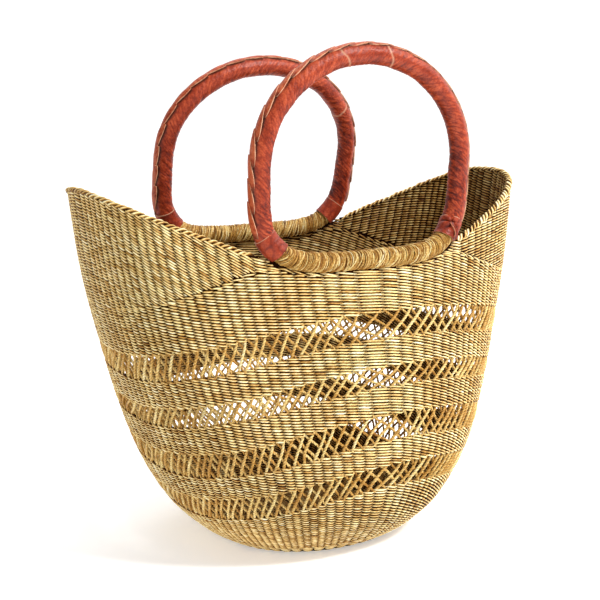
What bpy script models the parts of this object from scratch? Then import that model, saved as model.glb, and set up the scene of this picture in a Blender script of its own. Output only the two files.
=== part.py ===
"""A market basket of woven grass with raised wings, openwork bands and two leather-covered ring handles.

Metres. +X runs from wing to wing, the front is at -Y and +Z is up. The basket stands on Z = 0.
Each piece is one closed solid, and pieces that touch keep a gap of SEAT.
"""

import math

import bmesh
import bpy
from mathutils import Vector

# Fits
SEAT = 0.0003
ROLL_SEAT = 0.0005
LACE_SEAT = 0.0005
STAKE_SEAT = 0.0005
BORDER_SEAT = 0.0005

# Body: half sizes of the oval plan, outside
BASE_HALF_LENGTH = 0.086
BASE_HALF_DEPTH = 0.0815
BELLY_HALF_DEPTH = 0.1345
BELLY_HEIGHT = 0.100
MOUTH_HALF_LENGTH = 0.2175
MOUTH_HALF_DEPTH = 0.096
WALL = 0.0048

# How the half length and half depth grow with height, as shares of the sizes above
LENGTH_SHARES = ((0, 0), (0.037, 0.145), (0.108, 0.323), (0.231, 0.502), (0.4, 0.662),
                 (0.585, 0.798), (0.769, 0.914), (1, 1))
LOWER_DEPTH_SHARES = ((0, 0), (0.12, 0.33), (0.35, 0.69), (0.75, 0.953), (1, 1))
UPPER_DEPTH_SHARES = ((0, 0), (0.222, 0.17), (0.444, 0.43), (0.667, 0.675), (1, 1))

# Corners of the plan: 2 is an ellipse, more is squarer
BASE_SQUARENESS = 2.2
MOUTH_SQUARENESS = 2.7

# Bands, from the foot up, measured at the ends of the basket
FOOT_BAND_HEIGHT = 0.0408
OPENWORK_HEIGHTS = (0.0207, 0.0211, 0.0163, 0.0214)
WOVEN_BAND_HEIGHTS = (0.0220, 0.0244, 0.0240)
UPPER_BAND_HEIGHT = 0.0373
UPPER_BAND_SIDE_HEIGHT = 0.0394
WING_HEIGHT = 0.097

# Every band climbs to the middle of the long sides, and steps up where its round begins and ends
BAND_CLIMB = 0.0239
ROUND_STEP = 0.0103
ROUND_STEP_TURN = math.radians(254)
ROUND_STEP_SPREAD = math.radians(26)
LEVEL_BASE_HEIGHT = 0.040

# Stakes, crossed in two layers in each openwork band
STAKES = 72
STAKE_WIDTH = 0.0024
LAYER_GAP = 0.0007

# Handle rings: a grass roll sewn along the rim, and above it a leather-covered hoop
ROLL_RADIUS = 0.0085
ROLL_SQUARENESS = 4.2
RING_HALF_WIDTH = 0.099
RING_WIDEST_RISE = 0.080
PIVOT_RISE = 0.022
HOOP_RISES = {"front": 0.0895, "back": 0.0832}
HOOP_LEANS = {"front": math.radians(-2.8), "back": math.radians(11.7)}
CORE_RADIUS = 0.0075
BALL_RADIUS = 0.0092
LEATHER_RADIUS = 0.0092
LEATHER_FOOT_RADIUS = 0.0102
NECK = 0.0030
LACE_START = 0.009
LACE_PITCH = 0.019
LACE_WIDTH = 0.0085
LACE_THICKNESS = 0.0014
LACE_SCALLOP_SHARE = 0.28
CUFF_RADIUS = 0.0112
CUFF_DROP = 0.0015
CUFF_LENGTH = 0.0205

# Wings
SEAM_CURVE = 2.2
WALL_RISE_AT_FOOT = 0.0072
RIM_FOOT_RISE = 0.0128
RIM_CURVE = 1.74
BORDER_RADIUS = 0.0034

# Heights that the sizes above stack up to
BANDS_TOP_HEIGHT = FOOT_BAND_HEIGHT + sum(OPENWORK_HEIGHTS) + sum(WOVEN_BAND_HEIGHTS)
SEAM_LOW_HEIGHT = BANDS_TOP_HEIGHT + UPPER_BAND_HEIGHT
TIP_HEIGHT = SEAM_LOW_HEIGHT + WING_HEIGHT
WALL_TOP_AT_MIDDLE = BANDS_TOP_HEIGHT + BAND_CLIMB + UPPER_BAND_SIDE_HEIGHT
WALL_TOP_AT_FOOT = WALL_TOP_AT_MIDDLE + WALL_RISE_AT_FOOT
RIM_FOOT_HEIGHT = WALL_TOP_AT_FOOT + RIM_FOOT_RISE
ROLL_LOW_HEIGHT = WALL_TOP_AT_MIDDLE + ROLL_SEAT + ROLL_RADIUS
RING_WIDEST_HEIGHT = ROLL_LOW_HEIGHT + RING_WIDEST_RISE
PIVOT_HEIGHT = ROLL_LOW_HEIGHT + PIVOT_RISE

# Facets
BAND_FACETS = 48
BAND_ROWS = 1
FOOT_ROWS = 3
UPPER_ROWS = 3
UPPER_FACETS = 72
WING_FACETS = 20
WING_ROWS = 3
TUBE_FACETS = 12
CUFF_ROWS = 4
ROLL_STEPS = 20
CORE_STEPS = 20
FOOT_STEPS = 4
LEATHER_ROWS = 20
SCALLOP_FACETS = 3
ROLL_FACETS = 10
CORE_FACETS = 8
BORDER_FACETS = 6
PATH_STEPS = 240
FLAT_SHARE = math.cos(math.pi / TUBE_FACETS)
TINY_TURN = 0.001
TINY_RISE = 0.0001

SIDES = {"front": -1, "back": 1}
ENDS = {"left": -1, "right": 1}

LINEAR_COLOURS = {
    "grass": (0.62, 0.43, 0.20, 1),
    "grass roll": (0.50, 0.33, 0.14, 1),
    "grass core": (0.55, 0.38, 0.18, 1),
    "leather": (0.42, 0.075, 0.035, 1),
    "leather lace": (0.36, 0.055, 0.025, 1),
}


def clear_scene():
    for old in list(bpy.data.objects):
        bpy.data.objects.remove(old, do_unlink=True)


def material_for(name, finish, roughness):
    material = bpy.data.materials.new(name)
    material.use_nodes = True
    shader = material.node_tree.nodes["Principled BSDF"]
    shader.inputs["Base Color"].default_value = LINEAR_COLOURS[finish]
    shader.inputs["Roughness"].default_value = roughness
    shader.inputs["Metallic"].default_value = 0
    return material


def keep(obj, name, finish, roughness=0.8):
    """Names a finished piece, gives it its material and puts it in the basket's collection."""
    obj.name = name
    obj.data.name = name
    obj.data.materials.clear()
    obj.data.materials.append(material_for(name, finish, roughness))
    for home in list(obj.users_collection):
        home.objects.unlink(obj)
    basket.objects.link(obj)
    return obj


def mix(a, b, share):
    return a + (b - a) * share


def smooth(share):
    share = min(max(share, 0), 1)
    return share * share * (3 - 2 * share)


def read_curve(pairs, share):
    """A smooth curve through pairs of shares, without overshoot between them."""
    share = min(max(share, 0), 1)
    last = len(pairs) - 2
    i = min(max(k for k in range(len(pairs)) if pairs[k][0] <= share), last)
    slopes = []
    for k in (i, i + 1):
        before, after = max(k - 1, 0), min(k + 1, len(pairs) - 1)
        slopes.append((pairs[after][1] - pairs[before][1]) / (pairs[after][0] - pairs[before][0]))
    (x0, y0), (x1, y1) = pairs[i], pairs[i + 1]
    span = x1 - x0
    t = (share - x0) / span
    return ((2 * t**3 - 3 * t**2 + 1) * y0 + (t**3 - 2 * t**2 + t) * span * slopes[0]
            + (3 * t**2 - 2 * t**3) * y1 + (t**3 - t**2) * span * slopes[1])


# The woven wall's surface

def half_length(height):
    return mix(BASE_HALF_LENGTH, MOUTH_HALF_LENGTH, read_curve(LENGTH_SHARES, height / TIP_HEIGHT))


def half_depth(height):
    if height < BELLY_HEIGHT:
        return mix(BASE_HALF_DEPTH, BELLY_HALF_DEPTH, read_curve(LOWER_DEPTH_SHARES, height / BELLY_HEIGHT))
    above = (height - BELLY_HEIGHT) / (TIP_HEIGHT - BELLY_HEIGHT)
    return mix(BELLY_HALF_DEPTH, MOUTH_HALF_DEPTH, read_curve(UPPER_DEPTH_SHARES, above))


def squareness(height):
    return mix(BASE_SQUARENESS, MOUTH_SQUARENESS, min(height / TIP_HEIGHT, 1))


def oval(turn, power):
    c, s = math.cos(turn), math.sin(turn)
    return (math.copysign(abs(c) ** (2 / power), c), math.copysign(abs(s) ** (2 / power), s))


def outer_point(turn, height):
    x, y = oval(turn, squareness(height))
    return Vector((half_length(height) * x, half_depth(height) * y, height))


def wall_point(turn, height, depth=0.0):
    """A point of the wall, depth metres in from its outer face and square to it."""
    along = outer_point(turn + TINY_TURN, height) - outer_point(turn - TINY_TURN, height)
    up = outer_point(turn, height + TINY_RISE) - outer_point(turn, height)
    return outer_point(turn, height) - along.cross(up).normalized() * depth


def turn_at(x, height):
    """The turn, from the nearer end, at which the wall is x metres from the middle."""
    share = min(abs(x) / half_length(height), 1)
    return math.acos(share ** (squareness(height) / 2))


def mid_wall(x, height, side):
    """The middle of the wall's thickness at a given x and height on the front or the back."""
    power = squareness(height)
    y = half_depth(height) * (1 - (abs(x) / half_length(height)) ** power) ** (1 / power)
    return Vector((x, side * (y - WALL / 2), height))


def band_lift(turn):
    """How far the rows of a band rise above their height at the basket's ends."""
    past = (turn - ROUND_STEP_TURN + math.pi) % (2 * math.pi) - math.pi
    reach = min(max(past / ROUND_STEP_SPREAD, -1), 1)
    step = reach * (3 - reach * reach) / 2
    return BAND_CLIMB * math.sin(turn) ** 2 + ROUND_STEP * (step - past / math.pi) / 2


def row_height(level, turn):
    return level + band_lift(turn) * smooth(level / LEVEL_BASE_HEIGHT)


# The handle rings

def ring_half_span(height):
    """Half the width of a handle ring at a height below its widest part."""
    share = (RING_WIDEST_HEIGHT - height) / RING_WIDEST_RISE
    return RING_HALF_WIDTH * (1 - share**ROLL_SQUARENESS) ** (1 / ROLL_SQUARENESS)


def roll_height(x):
    share = min(abs(x) / RING_HALF_WIDTH, 1)
    return RING_WIDEST_HEIGHT - RING_WIDEST_RISE * (1 - share**ROLL_SQUARENESS) ** (1 / ROLL_SQUARENESS)


PIVOT_HALF_SPAN = ring_half_span(PIVOT_HEIGHT)


# Paths are lists of points, read by distance along them

def path_length(path):
    return sum((b - a).length for a, b in zip(path, path[1:]))


def along_path(path, distance):
    """The point and direction at a distance along a path, which runs on straight past its ends."""
    if distance <= 0:
        direction = (path[1] - path[0]).normalized()
        return path[0] + direction * distance, direction
    for a, b in zip(path, path[1:]):
        step = (b - a).length
        if distance <= step:
            return a.lerp(b, distance / step), (b - a).normalized()
        distance -= step
    direction = (path[-1] - path[-2]).normalized()
    return path[-1] + direction * distance, direction


def roll_path(side):
    """The centre of the roll, from the left pivot under the mouth to the right one."""
    points = []
    for i in range(PATH_STEPS + 1):
        x = -PIVOT_HALF_SPAN * math.cos(math.pi * i / PATH_STEPS)
        points.append(mid_wall(x, roll_height(x), side))
    return points


def hoop_path(name):
    """The centre of a hoop, from the left pivot over the top to the right one."""
    side, lean = SIDES[name], HOOP_LEANS[name]
    pivot = mid_wall(PIVOT_HALF_SPAN, PIVOT_HEIGHT, side)
    lowest = math.asin(((RING_WIDEST_HEIGHT - PIVOT_HEIGHT) / RING_WIDEST_RISE) ** (ROLL_SQUARENESS / 2))
    points = []
    for i in range(PATH_STEPS + 1):
        angle = mix(math.pi + lowest, -lowest, i / PATH_STEPS)
        above = math.sin(angle) >= 0
        x, z = oval(angle, 2 if above else ROLL_SQUARENESS)
        up = RING_WIDEST_HEIGHT + z * (HOOP_RISES[name] if above else RING_WIDEST_RISE) - PIVOT_HEIGHT
        points.append(Vector((x * RING_HALF_WIDTH, pivot.y - side * up * math.sin(lean),
                              PIVOT_HEIGHT + up * math.cos(lean))))
    return points


PIVOT_DIRECTION = along_path(roll_path(SIDES["front"]), 0)[1]
FOOT_REACH = PIVOT_HALF_SPAN + CUFF_RADIUS * abs(PIVOT_DIRECTION.z) + SEAT
WING_TURN = turn_at(FOOT_REACH, WALL_TOP_AT_FOOT)


# Edges of the wall

def from_end(turn):
    """The turn counted from the nearer end of the basket."""
    return math.acos(min(abs(math.cos(turn)), 1))


def seam_height(turn):
    """Top edge of the upper band: below the roll between the handle's feet, below the wings beyond them."""
    near = from_end(turn)
    if near < WING_TURN:
        return mix(SEAM_LOW_HEIGHT, WALL_TOP_AT_FOOT, (near / WING_TURN) ** SEAM_CURVE)
    x = min(abs(outer_point(turn, WALL_TOP_AT_FOOT).x), PIVOT_HALF_SPAN)
    slope = (roll_height(x + TINY_RISE) - roll_height(x)) / TINY_RISE
    return min(roll_height(x) - (ROLL_RADIUS + ROLL_SEAT) * math.hypot(1, slope), WALL_TOP_AT_FOOT)


def rim_height(turn):
    near = min(from_end(turn) / WING_TURN, 1)
    return mix(TIP_HEIGHT, RIM_FOOT_HEIGHT, near**RIM_CURVE)


def rim_point(turn):
    """Centre of the braided border along a wing."""
    return wall_point(turn, rim_height(turn), WALL / 2)


def wing_top_height(turn):
    """Top edge of a wing's wall, just under the round border, which slopes."""
    direction = (rim_point(turn + TINY_TURN) - rim_point(turn - TINY_TURN)).normalized()
    return rim_height(turn) - (BORDER_RADIUS + BORDER_SEAT) / math.sqrt(1 - direction.z**2)


def across(direction, side):
    """Two directions square to a path: towards the outside of the basket, and away from the ring's middle."""
    outward = Vector((0, side, 0))
    outward = (outward - direction * outward.dot(direction)).normalized()
    return outward, direction.cross(outward) * side


# Solids

def reshape(obj, place):
    """Moves each vertex of a unit shape to its place and turns the faces outwards."""
    mesh = bmesh.new()
    mesh.from_mesh(obj.data)
    mesh.verts.ensure_lookup_table()
    for vertex in mesh.verts:
        vertex.co = place(vertex)
    bmesh.ops.recalc_face_normals(mesh, faces=mesh.faces)
    if mesh.calc_volume(signed=True) < 0:
        bmesh.ops.reverse_faces(mesh, faces=mesh.faces)
    mesh.to_mesh(obj.data)
    mesh.free()
    return obj


def round_block(facets, rows, place):
    """A closed ring: facets round it, rows up its two faces. place(round, up, in) takes shares of each."""
    section = 2 * (rows + 1)
    bpy.ops.mesh.primitive_torus_add(major_segments=facets, minor_segments=section)

    def ring_place(vertex):
        i, k = divmod(vertex.index, section)
        inside = k > rows
        row = section - 1 - k if inside else k
        return place(i / facets, row / rows, 1.0 if inside else 0.0)

    return reshape(bpy.context.object, ring_place)


def strip_block(facets, rows, place):
    """A closed strip with two ends: facets along it, rows across. place(along, up, in) takes shares."""
    bpy.ops.mesh.primitive_grid_add(x_subdivisions=facets, y_subdivisions=rows, size=1)
    obj = bpy.context.object
    mesh = bmesh.new()
    mesh.from_mesh(obj.data)
    made = bmesh.ops.extrude_face_region(mesh, geom=mesh.faces[:], use_keep_orig=True)
    for vertex in (part for part in made["geom"] if isinstance(part, bmesh.types.BMVert)):
        vertex.co.z = 1
    mesh.to_mesh(obj.data)
    mesh.free()
    return reshape(obj, lambda v: place(v.co.x + 0.5, v.co.y + 0.5, v.co.z))


def tube(points, radii, facets):
    """A round bar through points as a bevelled curve, with a radius at each point."""
    data = bpy.data.curves.new("tube", "CURVE")
    data.dimensions = "3D"
    data.bevel_depth = 1
    data.bevel_resolution = (facets - 4) // 2
    data.use_fill_caps = True
    spline = data.splines.new("POLY")
    spline.points.add(len(points) - 1)
    for spot, place, radius in zip(spline.points, points, radii):
        spot.co = (*place, 1)
        spot.radius = radius
    obj = bpy.data.objects.new("tube", data)
    bpy.context.scene.collection.objects.link(obj)
    return obj


def stations(path, distances):
    return [along_path(path, distance)[0] for distance in distances]


# The woven body

def base_disc():
    bpy.ops.mesh.primitive_cylinder_add(vertices=BAND_FACETS, end_fill_type="TRIFAN")

    def place(vertex):
        depth = WALL if vertex.co.z > 0 else 0.0
        if vertex.co.xy.length < TINY_RISE:
            return Vector((0, 0, wall_point(0, 0, depth).z))
        turn = math.atan2(vertex.co.y, vertex.co.x)
        return wall_point(turn, 0, depth)

    keep(reshape(bpy.context.object, place), "base_disc", "grass")


def band(name, rows, low_edge, high_edge, facets=BAND_FACETS):
    """A solid woven band between two edges, each a height that may change round the basket."""

    def place(share, up, inward):
        turn = 2 * math.pi * share
        return wall_point(turn, mix(low_edge(turn), high_edge(turn), up), inward * WALL)

    keep(round_block(facets, rows, place), name, "grass")


def openwork(name, low, high, layer):
    """One layer of an openwork band: the stakes that lean one way and back, as a single zigzag strand."""
    thickness = (WALL - LAYER_GAP) / 2
    outer_face = layer * (thickness + LAYER_GAP)

    def place(share, up, inward):
        turn = 2 * math.pi * share
        bottom, top = row_height(low, turn) + STAKE_SEAT, row_height(high, turn) - STAKE_SEAT
        pitch = (outer_point(turn + 2 * math.pi / STAKES, bottom) - outer_point(turn, bottom)).length
        height = (outer_point(turn, top) - outer_point(turn, bottom)).length
        cut_share = STAKE_WIDTH * math.hypot(pitch, height) / pitch / height
        at_top = (round(share * STAKES) + layer) % 2
        level_share = mix(1 - cut_share, 1, up) if at_top else mix(0, cut_share, up)
        return wall_point(turn, mix(bottom, top, level_share), outer_face + inward * thickness)

    keep(round_block(STAKES, 1, place), name, "grass")


def body():
    """The base, then bands from the foot up: solid weave and openwork in turn."""
    base_disc()
    level = FOOT_BAND_HEIGHT
    band("foot_band", FOOT_ROWS, lambda turn: SEAT, lambda turn: row_height(FOOT_BAND_HEIGHT, turn))
    for i, openwork_height in enumerate(OPENWORK_HEIGHTS):
        low, high = level, level + openwork_height
        openwork(f"openwork_{i + 1}_outer", low, high, 0)
        openwork(f"openwork_{i + 1}_inner", low, high, 1)
        level = high
        if i < len(WOVEN_BAND_HEIGHTS):
            level = high + WOVEN_BAND_HEIGHTS[i]
            band(f"woven_band_{i + 1}", BAND_ROWS, lambda turn, low=high: row_height(low, turn),
                 lambda turn, high=level: row_height(high, turn))
    band("upper_band", UPPER_ROWS, lambda turn: row_height(level, turn), seam_height,
         facets=UPPER_FACETS)


def wing(name):
    """One raised end: a curved wall from the seam up to its braided border."""
    middle = 0.0 if ENDS[name] > 0 else math.pi

    def place(share, up, inward):
        turn = middle + WING_TURN * (2 * share - 1)
        return wall_point(turn, mix(seam_height(turn) + SEAT, wing_top_height(turn), up),
                          inward * WALL)

    keep(strip_block(WING_FACETS, WING_ROWS, place), f"wing_{name}", "grass")

    turns = [middle + WING_TURN * (2 * i / WING_FACETS - 1) for i in range(WING_FACETS + 1)]
    points = [rim_point(turn) for turn in turns]
    keep(tube(points, [BORDER_RADIUS] * len(points), BORDER_FACETS), f"wing_border_{name}", "grass roll")


# The handle pieces

def rim_roll(name):
    """The grass-bound lower part of a ring, sewn along the rim between the handle's feet."""
    path = roll_path(SIDES[name])
    start = BALL_RADIUS + SEAT
    end = path_length(path) - start
    distances = [mix(start, end, i / ROLL_STEPS) for i in range(ROLL_STEPS + 1)]
    roll = tube(stations(path, distances), [ROLL_RADIUS] * len(distances), ROLL_FACETS)
    keep(roll, f"rim_roll_{name}", "grass roll")


def foot_cuff(name, end):
    """A leather cuff round the end of the roll, with a hollow mouth that the hoop's foot turns in."""
    side = SIDES[name]
    path = roll_path(side)
    if ENDS[end] > 0:
        path = path[::-1]
    mouth = BALL_RADIUS + SEAT

    def place(share, up, inward):
        distance = mix(CUFF_DROP, CUFF_DROP + CUFF_LENGTH, up)
        radius = CUFF_RADIUS
        if inward:
            round_mouth = math.sqrt(max(mouth**2 - distance**2, 0))
            radius = max(round_mouth, ROLL_RADIUS + SEAT) / FLAT_SHARE
        centre, direction = along_path(path, distance)
        outward, away = across(direction, side)
        angle = 2 * math.pi * share
        return centre + outward * (radius * math.cos(angle)) + away * (radius * math.sin(angle))

    keep(round_block(TUBE_FACETS, CUFF_ROWS, place), f"foot_cuff_{name}_{end}", "leather", 0.5)


def handle_core(name):
    """The stiff grass bundle inside the leather, with a rounded foot at each end that rests in its cuff."""
    path = hoop_path(name)
    length = path_length(path)

    def radius_at(distance):
        near = min(distance, length - distance)
        if near < 0:
            return math.sqrt(max(BALL_RADIUS**2 - near**2, TINY_RISE**2))
        return mix(BALL_RADIUS, CORE_RADIUS, min(near / (NECK - SEAT), 1))

    foot = [-BALL_RADIUS * math.cos(math.pi / 2 * i / FOOT_STEPS) for i in range(FOOT_STEPS + 1)]
    bar = [mix(NECK - SEAT, length - NECK + SEAT, i / CORE_STEPS) for i in range(CORE_STEPS + 1)]
    distances = foot + bar + [length - distance for distance in reversed(foot)]
    radii = [radius_at(distance) for distance in distances]
    keep(tube(stations(path, distances), radii, CORE_FACETS), f"handle_core_{name}", "grass core")


def leather_radius(path, distance):
    """The leather is fullest at the feet and slimmer over the top."""
    rise = along_path(path, distance)[0].z - PIVOT_HEIGHT
    return mix(LEATHER_FOOT_RADIUS, LEATHER_RADIUS, smooth(rise / (TIP_HEIGHT - PIVOT_HEIGHT)))


def handle_leather(name):
    """A leather sleeve drawn round the core from neck to neck."""
    path, side = hoop_path(name), SIDES[name]
    length = path_length(path)

    def place(share, up, inward):
        distance = mix(NECK, length - NECK, up)
        radius = (CORE_RADIUS + SEAT) / FLAT_SHARE if inward else leather_radius(path, distance)
        centre, direction = along_path(path, distance)
        outward, away = across(direction, side)
        angle = 2 * math.pi * share
        return centre + outward * (radius * math.cos(angle)) + away * (radius * math.sin(angle))

    keep(round_block(TUBE_FACETS, LEATHER_ROWS, place), f"handle_leather_{name}", "leather", 0.5)


def handle_lacing(name):
    """The laced seam along the sleeve's outer edge: one leather strip with a row of scallops."""
    path, side = hoop_path(name), SIDES[name]
    length = path_length(path) - 2 * LACE_START
    scallops = round(length / LACE_PITCH)

    def place(share, up, inward):
        distance = LACE_START + length * share
        radius = leather_radius(path, distance) + LACE_SEAT + LACE_THICKNESS * (1 - inward)
        narrow = LACE_SCALLOP_SHARE * (0.5 + 0.5 * math.cos(2 * math.pi * scallops * share))
        angle = (up - 0.5) * LACE_WIDTH * (1 - narrow) / radius
        centre, direction = along_path(path, distance)
        outward, away = across(direction, side)
        return centre + away * (radius * math.cos(angle)) + outward * (radius * math.sin(angle))

    keep(strip_block(scallops * SCALLOP_FACETS, 2, place), f"handle_lacing_{name}", "leather lace", 0.55)


clear_scene()
basket = bpy.data.collections.new("bolga_basket")
bpy.context.scene.collection.children.link(basket)
body()
for end in ENDS:
    wing(end)
for name in SIDES:
    rim_roll(name)
    handle_core(name)
    handle_leather(name)
    handle_lacing(name)
    for end in ENDS:
        foot_cuff(name, end)
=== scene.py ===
import math

import bpy
import numpy as np
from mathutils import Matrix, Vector, noise


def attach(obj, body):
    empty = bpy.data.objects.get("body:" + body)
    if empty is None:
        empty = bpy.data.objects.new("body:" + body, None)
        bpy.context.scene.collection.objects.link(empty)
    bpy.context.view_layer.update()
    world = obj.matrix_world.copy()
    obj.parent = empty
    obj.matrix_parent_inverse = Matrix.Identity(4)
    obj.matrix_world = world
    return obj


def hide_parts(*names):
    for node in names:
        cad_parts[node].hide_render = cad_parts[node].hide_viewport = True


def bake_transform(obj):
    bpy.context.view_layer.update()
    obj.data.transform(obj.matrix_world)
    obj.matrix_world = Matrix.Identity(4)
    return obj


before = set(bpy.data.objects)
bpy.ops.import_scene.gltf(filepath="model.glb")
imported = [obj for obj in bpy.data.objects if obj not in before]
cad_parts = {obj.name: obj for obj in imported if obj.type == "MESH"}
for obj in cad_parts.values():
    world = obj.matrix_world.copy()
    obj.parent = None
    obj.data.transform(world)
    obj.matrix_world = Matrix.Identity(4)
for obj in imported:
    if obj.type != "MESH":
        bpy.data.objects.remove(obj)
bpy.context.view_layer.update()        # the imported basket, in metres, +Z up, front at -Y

rng = np.random.default_rng(7)
print("frame loaded:", len(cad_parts), "nodes")

# the wall's shape: half sizes of its oval plan, and how they grow with height
wallShape = {
    "baseHalfLength": 0.086, "baseHalfDepth": 0.0815,
    "bellyHalfDepth": 0.1345, "bellyHeight": 0.100,
    "mouthHalfLength": 0.2175, "mouthHalfDepth": 0.096,
    "thickness": 0.0048,
    "lengthShares": ((0, 0), (0.037, 0.145), (0.108, 0.323), (0.231, 0.502), (0.4, 0.662),
                     (0.585, 0.798), (0.769, 0.914), (1, 1)),
    "lowerDepthShares": ((0, 0), (0.12, 0.33), (0.35, 0.69), (0.75, 0.953), (1, 1)),
    "upperDepthShares": ((0, 0), (0.222, 0.17), (0.444, 0.43), (0.667, 0.675), (1, 1)),
    "baseSquareness": 2.2, "mouthSquareness": 2.7,
}

# bands from the foot up, measured at the basket's ends
bands = {
    "foot": 0.0408, "openwork": (0.0207, 0.0211, 0.0163, 0.0214), "woven": (0.0220, 0.0244, 0.0240),
    "upper": 0.0373, "upperSide": 0.0394, "wing": 0.097, "climb": 0.0239,
    "roundStep": 0.0103, "roundTurn": math.radians(254), "roundSpread": math.radians(26),
    "levelBase": 0.040, "seamCurve": 2.2, "riseAtFoot": 0.0072, "rimFootRise": 0.0128, "rimCurve": 1.74,
    "border": 0.0034,
}

# the two handle rings: a roll along the rim and a hoop over it
rings = {
    "rollRadius": 0.0085, "squareness": 4.2, "halfWidth": 0.099, "widestRise": 0.080, "pivotRise": 0.022,
    "hoopRises": {"front": 0.0895, "back": 0.0832}, "seat": 0.0005,
    "leans": {"front": math.radians(-2.8), "back": math.radians(11.7)},
    "footRadius": 0.0112, "footGap": 0.0003,   # the wings end this far out from a foot
    "steps": 240,
}
sides = {"front": -1, "back": 1}
ends = {"left": -1, "right": 1}
tinyTurn, tinyStep = 0.001, 0.0001   # for slopes

bandsTop = bands["foot"] + sum(bands["openwork"]) + sum(bands["woven"])
seamLow = bandsTop + bands["upper"]
tipHeight = seamLow + bands["wing"]
wallTopMiddle = bandsTop + bands["climb"] + bands["upperSide"]
wallTopFoot = wallTopMiddle + bands["riseAtFoot"]
rimFoot = wallTopFoot + bands["rimFootRise"]
rollLow = wallTopMiddle + rings["seat"] + rings["rollRadius"]
ringWidest = rollLow + rings["widestRise"]
pivotHeight = rollLow + rings["pivotRise"]


def mix(a, b, share):
    return a + (b - a) * share


def smooth(share):
    share = np.clip(share, 0, 1)
    return share * share * (3 - 2 * share)


def rampAt(distance, ramp):   # 0 to 1 from where a ramp starts and over its length
    start, length = ramp
    return smooth((distance - start) / length)


def readCurve(pairs, share):   # a smooth curve through pairs of shares
    xs, ys = np.array(pairs, float).T
    slopes = np.gradient(ys)
    slopes[1:-1] = (ys[2:] - ys[:-2]) / (xs[2:] - xs[:-2])
    slopes[0], slopes[-1] = (ys[1] - ys[0]) / (xs[1] - xs[0]), (ys[-1] - ys[-2]) / (xs[-1] - xs[-2])
    share = np.clip(share, 0, 1)
    i = np.clip(np.searchsorted(xs, share, side="right") - 1, 0, len(xs) - 2)
    span = xs[i + 1] - xs[i]
    t = (share - xs[i]) / span
    return ((2 * t**3 - 3 * t**2 + 1) * ys[i] + (t**3 - 2 * t**2 + t) * span * slopes[i]
            + (3 * t**2 - 2 * t**3) * ys[i + 1] + (t**3 - t**2) * span * slopes[i + 1])


def halfLength(height):
    shape = wallShape
    return mix(shape["baseHalfLength"], shape["mouthHalfLength"],
               readCurve(shape["lengthShares"], height / tipHeight))


def halfDepth(height):
    shape = wallShape
    lower = mix(shape["baseHalfDepth"], shape["bellyHalfDepth"],
                readCurve(shape["lowerDepthShares"], height / shape["bellyHeight"]))
    above = (height - shape["bellyHeight"]) / (tipHeight - shape["bellyHeight"])
    upper = mix(shape["bellyHalfDepth"], shape["mouthHalfDepth"], readCurve(shape["upperDepthShares"], above))
    return np.where(height < shape["bellyHeight"], lower, upper)


def squareness(height):
    return mix(wallShape["baseSquareness"], wallShape["mouthSquareness"], np.clip(height / tipHeight, 0, 1))


def outerPoint(turn, height):
    c, s, power = np.cos(turn), np.sin(turn), 2 / squareness(height)
    return np.stack([halfLength(height) * np.sign(c) * np.abs(c) ** power,
                     halfDepth(height) * np.sign(s) * np.abs(s) ** power,
                     height + 0 * turn], -1)


def unit(v):
    return v / np.linalg.norm(v, axis=-1, keepdims=True)


def wallPoint(turn, height, depth):   # depth runs inwards from the outer face, square to it
    turn, height = np.broadcast_arrays(np.asarray(turn, float), np.asarray(height, float))
    along = outerPoint(turn + tinyTurn, height) - outerPoint(turn - tinyTurn, height)
    up = outerPoint(turn, height + tinyStep) - outerPoint(turn, height)
    return outerPoint(turn, height) - unit(np.cross(along, up)) * np.asarray(depth)[..., None]


def rowHeight(level, turn):   # rows climb to the long sides and step up where the weaver's round closes
    past = (turn - bands["roundTurn"] + math.pi) % (2 * math.pi) - math.pi
    reach = np.clip(past / bands["roundSpread"], -1, 1)
    step = reach * (3 - reach * reach) / 2
    lift = bands["climb"] * np.sin(turn) ** 2 + bands["roundStep"] * (step - past / math.pi) / 2
    return level + lift * smooth(level / bands["levelBase"])


def rollHeight(x):
    share = np.clip(np.abs(x) / rings["halfWidth"], 0, 1)
    return ringWidest - rings["widestRise"] * (1 - share ** rings["squareness"]) ** (1 / rings["squareness"])


def midWall(x, height, side):   # middle of the wall's thickness on the front or the back
    power = squareness(height)
    y = halfDepth(height) * (1 - (np.abs(x) / halfLength(height)) ** power) ** (1 / power)
    return np.stack([x, side * (y - wallShape["thickness"] / 2), height + 0 * x], -1)


pivotShare = (ringWidest - pivotHeight) / rings["widestRise"]
pivotSpan = rings["halfWidth"] * (1 - pivotShare ** rings["squareness"]) ** (1 / rings["squareness"])


def pivotY(name):
    return float(midWall(np.array(pivotSpan), np.array(pivotHeight), sides[name])[1])


def rollPath(side):   # from the left pivot under the mouth to the right one
    x = -pivotSpan * np.cos(math.pi * np.arange(rings["steps"] + 1) / rings["steps"])
    return midWall(x, rollHeight(x), side)


def hoopPath(name):   # from the left pivot over the top to the right one
    lowest = math.asin(pivotShare ** (rings["squareness"] / 2))
    angle = np.linspace(math.pi + lowest, -lowest, rings["steps"] + 1)
    above = np.sin(angle) >= 0
    power = np.where(above, 1, 2 / rings["squareness"])
    x = rings["halfWidth"] * np.sign(np.cos(angle)) * np.abs(np.cos(angle)) ** power
    z = np.sign(np.sin(angle)) * np.abs(np.sin(angle)) ** power
    up = ringWidest + z * np.where(above, rings["hoopRises"][name], rings["widestRise"]) - pivotHeight
    lean = rings["leans"][name]
    y = pivotY(name) - sides[name] * up * math.sin(lean)
    return np.stack([x, y, pivotHeight + up * math.cos(lean)], -1)


def pathDistances(path):
    return np.concatenate([[0], np.cumsum(np.linalg.norm(np.diff(path, axis=0), axis=1))])


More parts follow.
